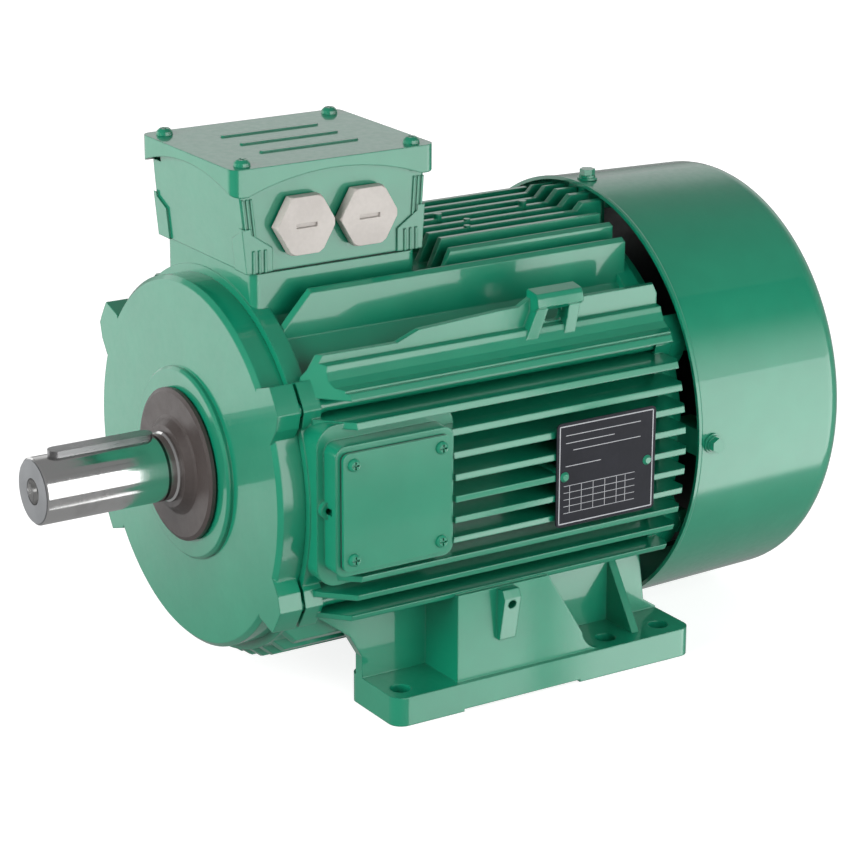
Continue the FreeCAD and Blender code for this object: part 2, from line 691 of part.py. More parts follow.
def bearing(name, start, width, outer_r, pitch_r, ball_r, balls):
    """A deep-groove ball bearing in four pieces: two races, balls and cage."""
    middle = start + width / 2
    track = ring(pitch_r, ball_r + 0.3, middle)
    outer_in = pitch_r + ball_r * 0.72
    inner_out = pitch_r - ball_r * 0.72
    end = start + width
    node(f"{name}_outer_race", cut(sleeve(outer_in, outer_r, start, end), track))
    node(f"{name}_inner_race", cut(sleeve(dims.journal_r, inner_out, start, end), track))
    spots = []
    for index in range(balls):
        turn = 2 * math.pi * index / balls
        spots.append((math.cos(turn) * pitch_r, H + math.sin(turn) * pitch_r))
    node(f"{name}_balls", group(*[ball(ball_r, x, middle, z) for x, z in spots]))
    band = sleeve(pitch_r - 2.2, pitch_r + 2.2, middle - ball_r - 1.8, middle + ball_r + 1.8)
    pocket = rod("z", ball_r + 0.3, pitch_r - 6, pitch_r + 6, y=middle)
    pockets = turned_to(pocket, [90 - 360 * index / balls for index in range(balls)])
    node(f"{name}_cage", cut(band, *pockets))


def build_bearings():
    bearing("drive_end_bearing", dims.front_brg, dims.front_brg_w, dims.front_brg_r, 32.5, 7.54, 8)
    bearing("fan_end_bearing", dims.rear_brg, dims.rear_brg_w, dims.rear_brg_r, 30, 5.95, 9)
    end = dims.front_brg + dims.front_brg_w
    cap = turned([(end, 36), (end, 44.8), (end + 4, 44.8), (end + 4, 56), (end + 8, 56),
                  (end + 8, 24.8), (end + 3, 24.8), (end + 3, 36)])
    pitch = dims.cap_pitch_r
    hole = rod("y", 2.6, end + 3, end + 9, z=pitch)
    node("inner_bearing_cap", cut(cap, *about_shaft(hole, 3)))
    bolts = []
    for index in range(3):
        turn = 2 * math.pi * index / 3
        bolts.append(screw("y", 4.4, 3, 2.5, end + 8, 10, x=pitch * math.sin(turn),
                           z=H + pitch * math.cos(turn)))
    node("bearing_cap_screws", group(*bolts))
    front = dims.front_brg
    node("shaft_circlip", sleeve(dims.journal_r - 1.2, dims.journal_r + 2.4, front - 2.1, front - 0.5))
    rear_end = dims.rear_brg + dims.rear_brg_w
    wave = sleeve(dims.rear_brg_r - 5, dims.rear_brg_r - 0.4, rear_end + 0.1, rear_end + 1.9)
    node("preload_spring_washer", wave)
    face = dims.seal_face
    lip = dims.journal_r
    seal = turned([
        (1.4, lip), (1.4, lip + 3.5), (face - 1, lip + 7), (face, lip + 8.5), (face, dims.seal_r - 2.2),
        (face + 1.2, dims.seal_r), (face + 3.4, dims.seal_r), (face + 4, dims.seal_r - 1.6),
        (face + 4, lip + 1), (face + 9.5, lip + 1), (face + 9.5, lip)])
    node("shaft_seal_disc", seal)
    start = rear_end + 6.5
    rear_seal = turned([(start, dims.fan_seat_r), (start, dims.fan_seat_r + 9),
                        (start + 1.6, dims.fan_seat_r + 9), (start + 4, dims.fan_seat_r + 4),
                        (start + 7, dims.fan_seat_r + 4), (start + 7, dims.fan_seat_r)])
    node("fan_end_seal", rear_seal)


def build_fan():
    hub = sleeve(dims.fan_seat_r, 24, 308, 335)
    web = turned([(313, 23), (313, 60), (322, 104), (324.5, 104), (316, 60), (316, 23)])
    blade = prism("YZ", [(315, 40), (347, 48), (350, 108), (323.5, 108), (315, 60)], -1.3, 1.3)
    solid = fuse(*([hub, web] + about_shaft(blade, 11)))
    slot = box((-3, 3), (305, 340), (H + 10, H + 19.8))
    node("fan", cut(solid, slot))
    clip = sleeve(dims.fan_seat_r - 1, dims.fan_seat_r + 3.4, 335.3, 336.8)
    node("fan_circlip", clip)


def build_cowl():
    front, rear = dims.cowl_front, dims.cowl_rear
    skin, corner = dims.cowl_skin, SIZES["cowl_corner"]
    big, small = dims.cowl_r, dims.cowl_rear_r
    inner = corner - SIZES["cowl_skin"]
    shell = turned([
        (front, big - skin), (front, big + 0.5), (front + 2, big + 0.5), (front + 3, big),
        (rear - corner, small, -corner), (rear, small - corner), (rear, 102), (rear - skin, 102),
        (rear - skin, small - corner, inner), (rear - corner, small - skin)])
    grille = []
    for index in range(9):
        radius = 26 + 9 * index
        grille.append(sleeve(radius - 1.2, radius + 1.2, rear - skin, rear))
    hub = rod("y", 16, rear - skin, rear, z=H)
    bar = box((-2, 2), (rear - skin, rear), (10, 103))
    solid = fuse(*([shell, hub] + grille + about_shaft(bar, 12)))
    hole = rod("z", 3.3, 120, 135, y=dims.cowl_screw)
    node("fan_cover", cut(solid, *turned_to(hole, COWL_FIXINGS)))


def build_cowl_fixings():
    station = dims.cowl_screw
    seat = dims.cowl_r + 0.02
    bolt = fuse(hexagon("z", 8, seat + 1.6, seat + 6.2, y=station),
                rod("z", 5, seat + 1.2, seat + 2.6, y=station),
                rod("z", 2.5, seat - 16, seat + 2, y=station))
    node("fan_cover_screws", group(*turned_to(bolt, COWL_FIXINGS)))
    washer = cut(rod("z", 6, seat, seat + 1.2, y=station),
                 rod("z", 2.8, seat - 2, seat + 3, y=station))
    node("fan_cover_washers", group(*turned_to(washer, COWL_FIXINGS)))


# -------------------------------------------------------------- terminal box

def lid_arches(grow):
    """Four arched openings in the lid's skirt, as two round bars."""
    low = dims.lid_skirt + 11.5 - dims.arch_r
    middle = (dims.lid_front + dims.lid_rear) / 2
    radius = dims.arch_r + grow
    wide = rod("x", radius + 6, -60, 60, y=middle, z=low - 6)
    deep = rod("y", radius, 15, 150, x=0, z=low)
    return wide, deep


def flared(proud):
    """The space inside the box's two leaning ends, or a little proud of them."""
    front, rear, floor = dims.box_front - proud, dims.box_rear + proud, dims.box_floor
    top = dims.lid_top - 4.6
    outline = [(front, floor), (rear, floor), (rear + dims.flare_rear, top),
               (front - dims.flare_front, top)]
    return prism("YZ", outline, -60, 60)


def box_corner(side, y, way):
    """A raised house-shaped panel around a corner of the box, with upright flutes."""
    half, floor = dims.box_half, dims.box_floor
    outer_y, inner_y = y - way * 7, y + way * 15
    lean = (0.102 if way > 0 else 0.065) * way
    made = []
    over_x = sorted((side * (half - 2), side * (half + 1.2)), key=lambda s: s.number)
    house = [(outer_y, floor), (inner_y, floor), (inner_y, 264), (outer_y, 279)]
    made.append(prism("YZ", house, over_x[0], over_x[1]))
    over_y = sorted((outer_y, y + way * 2), key=lambda s: s.number)
    house = [(side * (half + 1.2), floor), (side * 38, floor), (side * 38, 269),
             (side * (half + 1.2), 276)]
    made.append(prism("XZ", house, over_y[0], over_y[1]))
    rib_foot, rib_top = 262, dims.lid_skirt - 0.6
    shift = lean * (SIZES["lid_skirt"] - rib_foot)
    for flute in range(3):
        low = y + way * (2.4 + 3.6 * flute)
        ends = sorted((low, low + way * 1.4), key=lambda s: s.number)
        reach = sorted((side * 46, side * (half + 2)), key=lambda s: size(s).number)
        made.append(box(reach, ends, (floor, 263.5)))
        low = y + way * (2.6 * flute - 0.4)
        slanted = [(low, rib_foot), (low + way * 1.3, rib_foot),
                   (low + way * 1.3 - shift, rib_top), (low - shift, rib_top)]
        reach = sorted((side * 46, side * (half + 0.8)), key=lambda s: size(s).number)
        made.append(prism("YZ", slanted, reach[0], reach[1]))
    return made


def build_box():
    half, front, rear = dims.box_half, dims.box_front, dims.box_rear
    floor, wall = dims.box_floor, dims.box_wall
    top = dims.lid_top - 4.6
    block = prism("XY", rounded((-half, half), (front - dims.flare_front, rear + dims.flare_rear), 3),
                  floor, top)
    trims = []
    for y, way in ((front, 1), (rear, -1)):
        for side in (-1, 1):
            trims += box_corner(side, y, way)
    solid = fuse(common(block, flared(0)), common(fuse(*trims), flared(1.2)))
    inner = prism("XY", rounded((-half + wall, half - wall), (front + wall, rear - wall), 3),
                  floor + 4, top + 10)
    wells = [rod("z", 6.8, dims.lid_skirt + 3, top + 10, x=x, y=y) for x, y in lid_corners()]
    passage = prism("XY", rounded((-34, 34), (50, 117), 6), floor - 2, floor + 6)
    entries = [rod("x", dims.plug_shank_r, 40, 60, y=y, z=dims.plug_height)
               for y in (dims.plug_one, dims.plug_two)]
    base_holes = [rod("z", 2.8, 245, 262, x=x, y=y) for x, y in BOX_SCREWS]
    shell = cut(solid, inner, passage, *(wells + entries + base_holes))
    posts = [rod("z", 5.6, floor + 2, dims.lid_skirt - 0.6, x=x, y=y) for x, y in lid_corners()]
    post_holes = [rod("z", 2, floor + 34, dims.lid_top, x=x, y=y) for x, y in lid_corners()]
    posts = common(group(*posts), flared(0))
    node("terminal_box_body", cut(fuse(shell, posts), *post_holes))


def lid_corners():
    return [(x, y) for x in (-dims.lid_half + 9, dims.lid_half - 9)
            for y in (dims.lid_front + 10.5, dims.lid_rear - 10.5)]


def build_lid():
    half, front, rear = dims.lid_half, dims.lid_front, dims.lid_rear
    skirt, top, skin = dims.lid_skirt, dims.lid_top, dims.lid_skin
    outer = prism("XY", rounded((-half, half), (front, rear), 6), skirt, top)
    inner = prism("XY", rounded((-half + skin - 0.1, half - skin + 0.1),
                                (front + skin, rear - skin), 4), skirt - 5, top - skin)
    ribs = []
    for index in range(3):
        x = -22 + 22 * index
        ribs.append(prism("XY", rounded((x - 1.5, x + 1.5), (52, 114), 1.4), top - 1, top + 0.8))
    posts = [rod("z", 6, top - 12, top - 1, x=x, y=y) for x, y in lid_corners()]
    solid = fuse(cut(outer, inner, *lid_arches(0)), *(ribs + posts))
    holes = [rod("z", 2.3, skirt - 2, top + 3, x=x, y=y) for x, y in lid_corners()]
    node("terminal_box_lid", cut(solid, *holes))
    screws = [screw("z", 4.8, 3.5, 2.0, top, 22, x=x, y=y) for x, y in lid_corners()]
    node("lid_screws", group(*screws))


def build_box_fittings():
    half, front, rear = dims.box_half, dims.box_front, dims.box_rear
    floor = dims.box_floor
    sheet_gasket = prism("XY", rounded((-half + 2, half - 2), (front + 4, dims.pedestal_rear - 1), 5),
                         dims.pedestal_top, floor)
    opening = prism("XY", rounded((-34, 34), (50, 117), 6), 240, 260)
    holes = [rod("z", 2.8, 245, 262, x=x, y=y) for x, y in BOX_SCREWS]
    node("terminal_box_gasket", cut(sheet_gasket, opening, *holes))
    bolts = [screw("z", 4.4, 3.2, 2.5, floor + 4, 15, x=x, y=y) for x, y in BOX_SCREWS]
    node("box_mounting_screws", group(*bolts))
    board = fuse(prism("XY", rounded((-31, 31), (46.5, 120.5), 4), floor + 4, floor + 9),
                 box((-22, 22), (56, 111), (floor + 8, floor + 14)))
    ribs = [box((-25, 25), (y - 1.5, y + 1.5), (floor + 8, floor + 17)) for y in (74.5, 92.5)]
    node("terminal_board", fuse(board, *ribs))
    studs = []
    nuts = []
    posts = [(x, y) for x in (-11, 11) for y in (65.5, 83.5, 101.5)]
    for x, y in posts:
        studs.append(rod("z", 2.5, floor + 14, floor + 31, x=x, y=y))
        for low in (floor + 16, floor + 21.5):
            nuts.append(cut(hexagon("z", 8, low, low + 4, x=x, y=y),
                            rod("z", 2.5, low - 1, low + 5, x=x, y=y)))
    node("terminal_studs", group(*studs))
    node("terminal_nuts", group(*nuts))
    links = []
    for y in (65.5, 83.5, 101.5):
        bar = prism("XY", rounded((-17, 17), (y - 4.5, y + 4.5), 4.4), floor + 14.5, floor + 16)
        links.append(cut(bar, *[rod("z", 2.5, floor + 12, floor + 18, x=x, y=y) for x in (-11, 11)]))
    node("terminal_links", group(*links))


def build_plugs():
    face = dims.box_half + 1.5
    plugs = []
    seals = []
    for y in (dims.plug_one, dims.plug_two):
        at = {"y": y, "z": dims.plug_height}
        head = hexagon("x", dims.plug_flats, face, face + 6.5, **at, turn=90)
        rim = cone("x", (21.5, 17.4), face, face + 6.5, **at)
        shank = rod("x", dims.plug_shank_r, 43, face + 1, **at)
        slot = box((face + 5, face + 9), (y - 6.5, y + 6.5),
                   (dims.plug_height - 1.2, dims.plug_height + 1.2))
        plugs.append(cut(fuse(common(head, rim), shank), slot))
        seals.append(cut(rod("x", 14.5, dims.box_half, face, **at),
                         rod("x", dims.plug_shank_r, 40, 60, **at)))
    node("cable_entry_plugs", group(*plugs))
    node("cable_entry_seals", group(*seals))


# -------------------------------------------------------- plates on the side

def build_plates():
    face = dims.seat_face
    span = ((dims.plate_front, dims.plate_rear), (dims.plate_low, dims.plate_high))
    holes = [rod("x", 2.3, 120, 140, y=y, z=z) for y, z in PLATE_SCREWS]
    gasket = cut(prism("YZ", rounded(*span, 4), face, face + 1),
                 prism("YZ", rounded((50, 95), (115, 158), 5), 100, 140))
    node("side_cover_gasket", cut(gasket, *holes))
    node("side_cover_plate", cut(prism("YZ", rounded(*span, 4), face + 1, face + 3), *holes))
    screws = [screw("x", 3.8, 2.2, 2.0, face + 3, 8, y=y, z=z) for y, z in PLATE_SCREWS]
    node("side_cover_screws", group(*screws))
    name = dims.name_face
    outline = rounded((dims.name_front, dims.name_rear), (dims.name_low, dims.name_high), 3)
    spots = (dims.name_front + 5.5, dims.name_rear - 5.5)
    holes = [rod("x", 1.6, 120, 140, y=y, z=H) for y in spots]
    node("nameplate", cut(prism("YZ", outline, name, name + 0.8), *holes))
    rivets = []
    for y in spots:
        rivets.append(fuse(rod("x", 1.6, name - 6, name + 1, y=y, z=H),
                           cone("x", (3, 1.8), name + 0.8, name + 2.2, y=y, z=H)))
    node("nameplate_rivets", group(*rivets))


# --------------------------------------------------------------------- build

build_frame()
build_front_shield()
build_rear_shield()
build_tie_rods()
build_stator()
build_shaft()
build_keys()
build_rotor()
build_bearings()
build_fan()
build_cowl()
build_cowl_fixings()
build_box()
build_lid()
build_box_fittings()
build_plugs()
build_plates()
doc.recompute()

failed = [f"{thing.Name} ({thing.Label})" for thing in doc.Objects
          if {"Invalid", "Error"} & set(thing.State)]
failed += [piece.Label for piece in nodes if piece.Shape.isNull() or not piece.Shape.isValid()]
if failed:
    raise RuntimeError("no valid shape: " + ", ".join(failed))

os.makedirs("parts", exist_ok=True)
for piece in nodes:
    piece.Shape.exportStep(f"parts/{piece.Label}.step")
    bounds = piece.Shape.BoundBox
    print(f"{piece.Label:28s} solids {len(piece.Shape.Solids):3d} volume {piece.Shape.Volume:12.1f}"
          f"  x {bounds.XMin:.1f}..{bounds.XMax:.1f}  y {bounds.YMin:.1f}..{bounds.YMax:.1f}"
          f"  z {bounds.ZMin:.1f}..{bounds.ZMax:.1f}")
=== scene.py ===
import math

import bmesh
import bpy
from mathutils import Matrix, Vector


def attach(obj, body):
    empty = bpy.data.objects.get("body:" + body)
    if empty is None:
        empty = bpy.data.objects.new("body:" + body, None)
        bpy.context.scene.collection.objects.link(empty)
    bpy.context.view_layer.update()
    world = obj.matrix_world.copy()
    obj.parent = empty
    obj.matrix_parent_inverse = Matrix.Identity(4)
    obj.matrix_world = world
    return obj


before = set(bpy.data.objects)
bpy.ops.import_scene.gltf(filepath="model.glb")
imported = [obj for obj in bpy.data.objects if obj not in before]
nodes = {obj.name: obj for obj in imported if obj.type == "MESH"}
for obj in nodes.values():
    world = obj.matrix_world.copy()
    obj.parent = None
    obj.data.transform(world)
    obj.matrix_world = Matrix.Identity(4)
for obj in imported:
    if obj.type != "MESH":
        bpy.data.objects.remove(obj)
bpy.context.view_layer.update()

MM = 0.001
AXIS_Z = 0.132          # height of the shaft's axis above the foot plane
SHOULDER_Y = -0.159     # the shaft's shoulder, from which stations along the shaft are counted
SHAFT_TIP_Y = -0.239    # the shaft's end face
GROOVE_Y = -0.1645      # the relief groove beside the seal disc, where the shaft's colour is darkened as painted shade
NOISE_ROUGHNESS = 0.55  # how strongly the fine octaves of every noise show


def at(x, station, z):
    """A point from millimetres: x across, station along the shaft, z up."""
    return Vector((x * MM, station * MM + SHOULDER_Y, z * MM))


# ------------------------------------------------------------- shader fields

class Field:
    """A value in a node tree that can be added, multiplied and so on."""

    def __init__(self, tree, source):
        self.tree = tree
        self.source = source

    def math(self, operation, *others):
        node = self.tree.nodes.new("ShaderNodeMath")
        node.operation = operation
        for socket, value in zip(node.inputs, (self, *others)):
            feed(self.tree, socket, value)
        return Field(self.tree, node.outputs[0])

    def __add__(self, other):
        return self.math("ADD", other)

    def __sub__(self, other):
        return self.math("SUBTRACT", other)

    def __mul__(self, other):
        return self.math("MULTIPLY", other)

    def sine(self):
        return self.math("SINE")

    def size(self):
        return self.math("ABSOLUTE")

    def ramp(self, low, high, to_low=0.0, to_high=1.0):
        """A smooth step from to_low to to_high while the value goes from low to high."""
        node = self.tree.nodes.new("ShaderNodeMapRange")
        node.interpolation_type = "SMOOTHSTEP"
        feed(self.tree, node.inputs["Value"], self)
        ends = {"From Min": low, "From Max": high, "To Min": to_low, "To Max": to_high}
        for name, value in ends.items():
            node.inputs[name].default_value = value
        return Field(self.tree, node.outputs["Result"])

    def blend(self, first, second):
        """A colour between two colours."""
        node = self.tree.nodes.new("ShaderNodeMix")
        node.data_type = "RGBA"
        feed(self.tree, node.inputs[0], self)
        feed(self.tree, node.inputs[6], first)
        feed(self.tree, node.inputs[7], second)
        return Field(self.tree, node.outputs[2])


def feed(tree, socket, value):
    if isinstance(value, Field):
        tree.links.new(value.source, socket)
    elif isinstance(value, (tuple, list)):
        socket.default_value = (*value, 1.0) if len(value) == 3 else value
    else:
        socket.default_value = value


class Paint:
    """A material in the making: coordinates, noises and one principled shader."""

    def __init__(self, name):
        self.material = bpy.data.materials.new(name)
        self.material.use_nodes = True
        self.tree = self.material.node_tree
        self.shader = self.tree.nodes["Principled BSDF"]
        self.coords = self.tree.nodes.new("ShaderNodeTexCoord").outputs["Object"]

    def set(self, **sockets):
        for name, value in sockets.items():
            feed(self.tree, self.shader.inputs[name.replace("_", " ")], value)
        return self

    def point(self, scale=(1, 1, 1)):
        node = self.tree.nodes.new("ShaderNodeMapping")
        node.inputs["Scale"].default_value = scale
        self.tree.links.new(self.coords, node.inputs["Vector"])
        return Field(self.tree, node.outputs["Vector"])

    def axes(self):
        node = self.tree.nodes.new("ShaderNodeSeparateXYZ")
        self.tree.links.new(self.coords, node.inputs[0])
        return [Field(self.tree, out) for out in node.outputs]

    def noise(self, scale, detail=3.0, stretch=(1, 1, 1)):
        node = self.tree.nodes.new("ShaderNodeTexNoise")
        feed(self.tree, node.inputs["Vector"], self.point(stretch))
        node.inputs["Scale"].default_value = scale
        node.inputs["Detail"].default_value = detail
        node.inputs["Roughness"].default_value = NOISE_ROUGHNESS
        return Field(self.tree, node.outputs["Fac"])

    def cells(self, scale):
        node = self.tree.nodes.new("ShaderNodeTexVoronoi")
        feed(self.tree, node.inputs["Vector"], self.point())
        node.inputs["Scale"].default_value = scale
        return Field(self.tree, node.outputs["Distance"])

    def bump(self, height, distance, strength=1.0, bevel=0.0):
        """Surface relief, over edges softened by a small radius where bevel is given."""
        node = self.tree.nodes.new("ShaderNodeBump")
        node.inputs["Distance"].default_value = distance
        node.inputs["Strength"].default_value = strength
        feed(self.tree, node.inputs["Height"], height)
        if bevel:
            soft = self.tree.nodes.new("ShaderNodeBevel")
            soft.samples = 4
            soft.inputs["Radius"].default_value = bevel
            self.tree.links.new(soft.outputs["Normal"], node.inputs["Normal"])
        self.tree.links.new(node.outputs["Normal"], self.shader.inputs["Normal"])
        return node.outputs["Normal"]


GREEN_THIN = (0.005, 0.204, 0.112)
GREEN_DEEP = (0.0025, 0.176, 0.096)


def enamel(name, grain, bevel, coat_roughness=0.045, peel=0.00002):
    """Green enamel: slow shifts of tone, orange peel, and casting grain beneath."""
    paint = Paint(name)
    cloud = paint.noise(14, 3).ramp(0.2, 0.8)
    patch = paint.noise(55, 5).ramp(0.35, 0.75)
    tone = cloud * 0.6 + patch * 0.4
    paint.set(Base_Color=tone.blend(GREEN_DEEP, GREEN_THIN))
    paint.set(Roughness=paint.noise(240, 3).ramp(0.2, 0.8, 0.30, 0.38))
    paint.set(Coat_Weight=1.0, Coat_Roughness=coat_roughness, Coat_IOR=1.52, IOR=1.45)
    relief = paint.noise(900, 2) * grain + paint.noise(320, 2) * (1 - grain)
    relief = paint.bump(relief, peel, 1.0, bevel)
    paint.tree.links.new(relief, paint.shader.inputs["Coat Normal"])
    return paint.material


def steel(name, colour, dark, roughness, lines, bump=0.00002):
    """Bright metal with fine tool lines; lines is the stretch of the pattern."""
    paint = Paint(name)
    streak = paint.noise(90, 4, lines)
    stain = paint.noise(35, 4).ramp(0.45, 0.8)
    paint.set(Base_Color=stain.blend(colour, dark), Metallic=1.0)
    paint.set(Roughness=streak.ramp(0.25, 0.75, roughness * 0.75, roughness * 1.35))
    paint.bump(streak, bump)
    return paint.material


def shaft_steel():
    """Ground shaft: fine rings round it, a rougher end face darkened as painted shade, and a ring of
    painted shade at the relief groove.
    """
    paint = Paint("ground_steel")
    _, y, _ = paint.axes()
    rings = paint.noise(90, 4, (1, 40, 1))
    tone = paint.noise(35, 4).ramp(0.45, 0.8).blend((0.74, 0.74, 0.735), (0.58, 0.575, 0.56))
    # painted shade: the end face's base colour is darkened to 0.27; the same mask also makes it rougher
    end_face_dull_and_painted_dark = y.ramp(SHAFT_TIP_Y + 0.0002, SHAFT_TIP_Y + 0.0006, 1.0, 0.0)
    # painted shade: the shaft's base colour is darkened to 0.10 in a thin ring at the relief groove
    groove_painted_shade = (y - GROOVE_Y).size().ramp(0.0007, 0.0010, 1.0, 0.0)
    tone = end_face_dull_and_painted_dark.blend(groove_painted_shade.blend(tone, (0.10, 0.10, 0.10)), (0.27, 0.28, 0.29))
    paint.set(Base_Color=tone, Metallic=1.0)
    paint.set(Roughness=rings.ramp(0.25, 0.75, 0.09, 0.17) + end_face_dull_and_painted_dark * 0.2)
    paint.bump(rings, 0.000006)
    return paint.material


def moulded(name, colour, other, roughness, grain=600, depth=0.00003, bevel=0.0, shine=0.5):
    """Plastic, rubber or card: two near tones and a fine moulded grain."""
    paint = Paint(name).set(Specular_IOR_Level=shine)
    tone = (paint.noise(30, 4) * 0.7 + paint.noise(420, 2) * 0.3).ramp(0.3, 0.7)
    paint.set(Base_Color=tone.blend(colour, other))
    paint.set(Roughness=paint.noise(180, 3).ramp(0.25, 0.75, roughness * 0.85, roughness * 1.15))
    paint.bump(paint.noise(grain, 3), depth, 1.0, bevel)
    return paint.material


def laminations():
    paint = Paint("lamination_steel")
    _, y, _ = paint.axes()
    sheets = (y * (2 * math.pi / 0.0013)).sine()
    tone = (sheets * 0.25 + paint.noise(60, 3)).ramp(0.2, 0.9)
    paint.set(Base_Color=tone.blend((0.10, 0.10, 0.105), (0.24, 0.235, 0.23)), Metallic=0.8)
    paint.set(Roughness=paint.noise(200).ramp(0.3, 0.7, 0.42, 0.6))
    paint.bump(sheets, 0.00008)
    return paint.material


def windings():
    paint = Paint("copper_winding")
    wires = paint.noise(40, 2, (22, 1.5, 22))
    tone = (wires * 0.7 + paint.noise(25, 4) * 0.3).ramp(0.3, 0.7)
    paint.set(Base_Color=tone.blend((0.30, 0.085, 0.03), (0.62, 0.25, 0.10)), Metallic=0.7)
    paint.set(Roughness=wires.ramp(0.3, 0.7, 0.25, 0.45), Coat_Weight=0.5, Coat_Roughness=0.15)
    paint.bump(wires, 0.0006)
    return paint.material


def cast_metal():
    paint = Paint("cast_aluminium")
    tone = (paint.noise(40, 4) * 0.5 + paint.noise(500, 3) * 0.5).ramp(0.3, 0.7)
    paint.set(Base_Color=tone.blend((0.50, 0.50, 0.51), (0.68, 0.68, 0.69)), Metallic=1.0)
    paint.set(Roughness=paint.noise(260).ramp(0.3, 0.7, 0.38, 0.55))
    paint.bump(paint.cells(900) + paint.noise(400), 0.0001)
    return paint.material


cast_enamel = enamel("cast_enamel", grain=0.55, bevel=0.0011)
sheet_enamel = enamel("sheet_enamel", grain=0.2, bevel=0.0004, coat_roughness=0.035, peel=0.000016)
screw_enamel = enamel("fastener_enamel", grain=0.3, bevel=0.0003, coat_roughness=0.06)
ground_steel = shaft_steel()
key_steel = steel("key_steel", (0.33, 0.33, 0.335), (0.22, 0.22, 0.225), 0.34, (25, 1, 25))
bearing_steel = steel("bearing_steel", (0.66, 0.66, 0.67), (0.5, 0.5, 0.51), 0.1, (1, 20, 1))
plain_steel = steel("plain_steel", (0.45, 0.45, 0.455), (0.3, 0.3, 0.3), 0.3, (6, 6, 6))
brass = steel("terminal_brass", (0.72, 0.50, 0.20), (0.48, 0.32, 0.12), 0.24, (8, 8, 8))
seal_rubber = moulded("seal_rubber", (0.040, 0.032, 0.030), (0.058, 0.048, 0.045), 0.36,
                      grain=700, bevel=0.0004)
gasket_rubber = moulded("gasket_rubber", (0.016, 0.018, 0.017), (0.03, 0.03, 0.03), 0.6)
fan_plastic = moulded("fan_plastic", (0.02, 0.02, 0.021), (0.035, 0.035, 0.037), 0.42)
board_plastic = moulded("board_plastic", (0.07, 0.018, 0.012), (0.12, 0.032, 0.02), 0.3)
plug_plastic = moulded("plug_plastic", (0.40, 0.37, 0.345), (0.46, 0.43, 0.40), 0.45,
                       grain=260, depth=0.00006, bevel=0.0006)
nameplate_foil = moulded("nameplate_foil", (0.0075, 0.0085, 0.012), (0.011, 0.012, 0.017), 0.38,
                         grain=900, depth=0.00001, shine=0.12)
print_foil = moulded("print_foil", (0.30, 0.31, 0.33), (0.38, 0.39, 0.41), 0.4, grain=900, depth=0.00001)

FINISH = {
    cast_enamel: ["stator_frame", "drive_end_shield", "fan_end_shield", "terminal_box_body",
                  "terminal_box_lid"],
    sheet_enamel: ["fan_cover", "side_cover_plate"],
    screw_enamel: ["tie_rods", "tie_rod_nuts", "lid_screws", "fan_cover_screws", "fan_cover_washers",
                   "side_cover_screws", "nameplate_rivets"],
    ground_steel: ["shaft"],
    key_steel: ["shaft_key", "fan_key"],
    bearing_steel: ["drive_end_bearing_outer_race", "drive_end_bearing_inner_race",
                    "drive_end_bearing_balls", "fan_end_bearing_outer_race",
                    "fan_end_bearing_inner_race", "fan_end_bearing_balls"],
    plain_steel: ["drive_end_bearing_cage", "fan_end_bearing_cage", "bearing_cap_screws", "shaft_circlip",
                  "fan_circlip", "preload_spring_washer", "box_mounting_screws"],
    brass: ["terminal_studs", "terminal_nuts", "terminal_links"],
    seal_rubber: ["shaft_seal_disc", "fan_end_seal"],
    gasket_rubber: ["terminal_box_gasket", "side_cover_gasket", "cable_entry_seals"],
    fan_plastic: ["fan"],
    board_plastic: ["terminal_board"],
    plug_plastic: ["cable_entry_plugs"],
    nameplate_foil: ["nameplate"],
    laminations(): ["stator_core", "rotor_core"],
    windings(): ["stator_winding"],
    cast_metal(): ["rotor_cage", "inner_bearing_cap"],
}
for finish, names in FINISH.items():
    for name in names:
        mesh = nodes[name].data
        mesh.materials.clear()
        mesh.materials.append(finish)


# ---------------------------------------------------------------- new pieces

def piece(name, body, material, build):
    """A mesh object filled by build(bmesh), riding on a body."""
    mesh = bpy.data.meshes.new(name)
    work = bmesh.new()
    build(work)
    bmesh.ops.recalc_face_normals(work, faces=work.faces)
    work.to_mesh(mesh)
    work.free()
    mesh.materials.append(material)
    made = bpy.data.objects.new(name, mesh)
    bpy.context.scene.collection.objects.link(made)
    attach(made, body)


def bar(work, low, high):
    """A block between two corners, given as x, station and z in millimetres."""
    corners = [(x, y, z) for x in (low[0], high[0]) for y in (low[1], high[1])
               for z in (low[2], high[2])]
    made = [work.verts.new(at(*corner)) for corner in corners]
    for face in ((0, 1, 3, 2), (4, 6, 7, 5), (0, 4, 5, 1), (2, 3, 7, 6), (0, 2, 6, 4), (1, 5, 7, 3)):
        work.faces.new([made[i] for i in face])


def nameplate_print(work):
    """A thin printed border and an empty form of ruled lines; no writing."""
    back, face = 132.88, 132.96
    left, right, low, high = 177.0, 240.5, 104.5, 161.5
    border, table, row = 0.3, 0.15, 0.2     # half the width of each kind of line

    def level(z, start, end, half):
        bar(work, (back, start, z - half), (face, end, z + half))

    def upright(y, start, end, half):
        bar(work, (back, y - half, start), (face, y + half, end))

    for z in (low, high):
        level(z, left, right, border)
    for y in (left, right):
        upright(y, low, high, border)
    table_lines = (110.5, 114.5, 118.5, 122.5, 126.5)
    for z in table_lines:
        level(z, left + 3, right - 12, table)
    for y in (184, 192, 200, 208, 216, 222):
        upright(y, table_lines[0], table_lines[-1], table)
    for z, start, end in ((156, 181, 232), (151.5, 181, 214), (147, 186, 232), (138, 181, 205)):
        level(z, start, end, row)


piece("nameplate_print", "stator", print_foil, nameplate_print)


# --------------------------------------------------------- studio and camera

